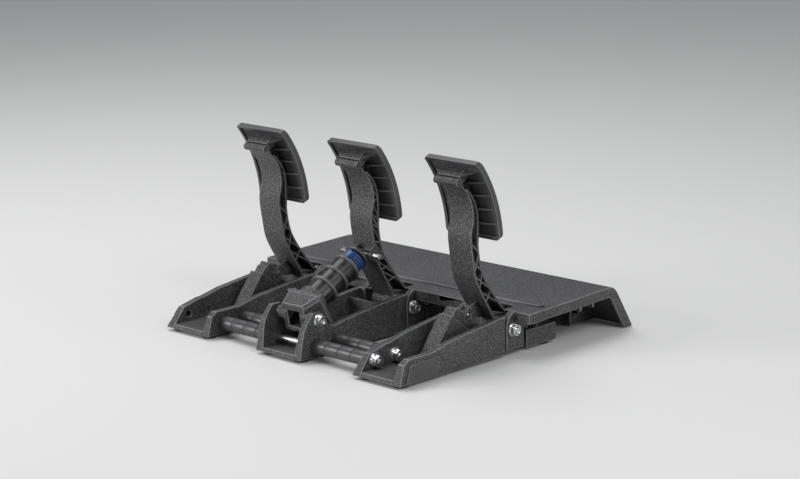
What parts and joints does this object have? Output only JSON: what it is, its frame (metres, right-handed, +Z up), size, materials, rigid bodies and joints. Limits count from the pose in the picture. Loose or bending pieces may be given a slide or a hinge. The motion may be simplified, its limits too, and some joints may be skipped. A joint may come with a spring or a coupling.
{
  "type": "sim racing pedal set",
  "caption": "Floor-standing racing pedal set: throttle, brake and clutch modules on tie rods with a heel plate, sprung side pedals and an elastomer brake stack.",
  "frame": {"origin": "middle of the set's footprint, on the floor under the feet", "axes": "+X to the driver's right (throttle side), +Y away from the driver (toe side), +Z up"},
  "size_m": [0.3334, 0.2904, 0.1808],
  "materials": {
    "nylon": "grained, matte",
    "satin": "satin",
    "rubber": "satin",
    "zinc": "bright zinc",
    "steel": "drawn",
    "spring_paint": "gloss blue",
    "board": "solder mask"
  },
  "bodies": {
    "base": {"heel_plate": "nylon", "heel_stop_strip": "satin", "throttle_base": "nylon", "brake_base": "nylon", "clutch_base": "nylon", "rubber_feet": "rubber", "throttle_side_plate": "satin", "clutch_side_plate": "satin", "front_tie_rod": "zinc", "rear_tie_rod": "zinc", "rod_spacers": "satin", "rod_nuts": "zinc", "rod_washers": "zinc", "pivot_bolts": "zinc", "pivot_nuts": "zinc", "pivot_sleeves": "steel", "thrust_washers": "satin", "heel_screws": "zinc", "housing_pins": "zinc", "sensor_boards": "board", "hood_pivot_bolts": "zinc", "hood_spacers": "satin", "controller_board": "board", "board_screws": "zinc", "data_socket": "steel"},
    "throttle_pedal": {"throttle_arm": "nylon", "throttle_pad": "satin", "throttle_pad_bracket": "nylon", "throttle_pad_screws": "zinc", "throttle_plunger_pin": "zinc", "throttle_magnet": "steel"},
    "clutch_pedal": {"clutch_arm": "nylon", "clutch_pad": "satin", "clutch_pad_bracket": "nylon", "clutch_pad_screws": "zinc", "clutch_plunger_pin": "zinc", "clutch_magnet": "steel"},
    "brake_pedal": {"brake_arm": "nylon", "brake_pad": "satin", "brake_pad_bracket": "nylon", "brake_pad_screws": "zinc", "cross_pin": "zinc", "cross_pin_clips": "satin"},
    "throttle_cartridge": {"throttle_spring_housing": "nylon", "throttle_return_spring": "steel"},
    "throttle_slider": {"throttle_plunger": "satin"},
    "clutch_cartridge": {"clutch_spring_housing": "nylon", "clutch_return_spring": "steel"},
    "clutch_slider": {"clutch_plunger": "satin"},
    "brake_block": {"brake_hood": "nylon", "hood_plate": "nylon", "hood_plate_screws": "zinc", "load_cell": "steel", "load_cell_screws": "zinc", "front_elastomer": "rubber", "middle_elastomer": "rubber", "rear_elastomer": "rubber", "brake_spring": "spring_paint"},
    "brake_rod": {"push_rod": "zinc"}
  },
  "joints": [
    {"name": "throttle_press", "type": "hinge", "parent": "base", "child": "throttle_pedal", "pos_m": [0.12, 0.00205, 0.0242], "axis": [-1, 0, 0], "range_deg": [0, 14], "stiffness_Nm_per_rad": 8, "springref_deg": -14.32},
    {"name": "throttle_unit_rock", "type": "hinge", "parent": "base", "child": "throttle_cartridge", "pos_m": [0.12, 0.05172, 0.01536], "axis": [1, 0, 0], "range_deg": [0, 6.7]},
    {"name": "throttle_plunger_slide", "type": "slide", "parent": "throttle_cartridge", "child": "throttle_slider", "axis": [0, 0.6157, -0.788], "range_m": [0, 0.0081], "deforming": ["throttle_return_spring"]},
    {"name": "clutch_press", "type": "hinge", "parent": "base", "child": "clutch_pedal", "pos_m": [-0.12, 0.00205, 0.0242], "axis": [-1, 0, 0], "range_deg": [0, 14], "stiffness_Nm_per_rad": 14, "springref_deg": -14.32},
    {"name": "clutch_unit_rock", "type": "hinge", "parent": "base", "child": "clutch_cartridge", "pos_m": [-0.12, 0.05172, 0.01536], "axis": [1, 0, 0], "range_deg": [0, 6.7]},
    {"name": "clutch_plunger_slide", "type": "slide", "parent": "clutch_cartridge", "child": "clutch_slider", "axis": [0, 0.6157, -0.788], "range_m": [0, 0.0081], "deforming": ["clutch_return_spring"]},
    {"name": "brake_press", "type": "hinge", "parent": "base", "child": "brake_pedal", "pos_m": [0, 0.00205, 0.0242], "axis": [-1, 0, 0], "range_deg": [0, 8], "stiffness_Nm_per_rad": 180, "springref_deg": -1.15},
    {"name": "brake_block_rock", "type": "hinge", "parent": "base", "child": "brake_block", "pos_m": [0, 0.12075, 0.0352], "axis": [1, 0, 0], "range_deg": [0, 1.3]},
    {"name": "push_rod_slide", "type": "slide", "parent": "brake_block", "child": "brake_rod", "axis": [0, 0.8918, -0.4524], "range_m": [0, 0.0089], "deforming": ["front_elastomer", "middle_elastomer", "rear_elastomer", "brake_spring"]}
  ],
  "couplings": [
    {"joint": "throttle_unit_rock", "follows": "throttle_press", "ratio": 0.465},
    {"joint": "throttle_plunger_slide", "follows": "throttle_press", "m_per_rad": 0.0322},
    {"joint": "clutch_unit_rock", "follows": "clutch_press", "ratio": 0.465},
    {"joint": "clutch_plunger_slide", "follows": "clutch_press", "m_per_rad": 0.0322},
    {"joint": "brake_block_rock", "follows": "brake_press", "ratio": 0.15},
    {"joint": "push_rod_slide", "follows": "brake_press", "m_per_rad": 0.0629}
  ]
}
